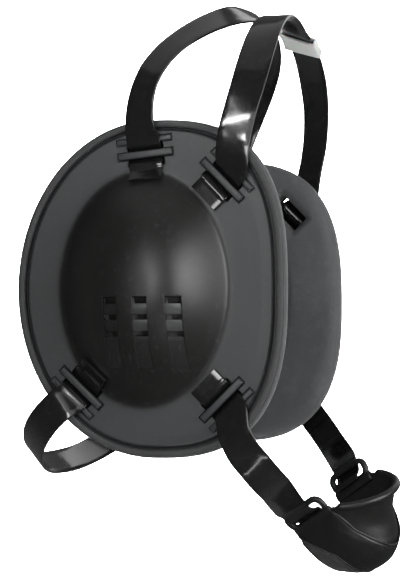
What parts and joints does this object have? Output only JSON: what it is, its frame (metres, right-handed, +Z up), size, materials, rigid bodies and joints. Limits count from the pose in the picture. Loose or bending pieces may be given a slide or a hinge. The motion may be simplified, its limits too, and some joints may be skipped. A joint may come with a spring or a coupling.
{
  "type": "wrestling ear guard",
  "caption": "Sports ear guard as worn: padded ear cups with vented domes, held by flat straps over the crown, round the nape and under the chin.",
  "frame": {"origin": "midway between the ear cups, at the middle of the wearer's head", "axes": "+Z up, -Y the way the wearer faces, +X the wearer's left"},
  "size_m": [0.222, 0.1791, 0.2735],
  "materials": {
    "shell": "satin black moulded plastic",
    "rim": "matte light grey bead",
    "pad": "soft matte black foam with a smooth skin",
    "strap": "glossy smooth black rubber",
    "keeper": "pale plastic, lightly glossy",
    "chin": "satin dark rubber"
  },
  "bodies": {
    "root": {"right_shell": "shell", "right_rim": "rim", "right_pad": "pad", "left_shell": "shell", "left_rim": "rim", "left_pad": "pad", "rear_crown_strap": "strap", "front_crown_strap": "strap", "crown_keeper": "keeper", "nape_strap": "strap", "chin_cup": "chin", "chin_strap_right": "strap", "chin_strap_left": "strap"}
  },
  "joints": []
}
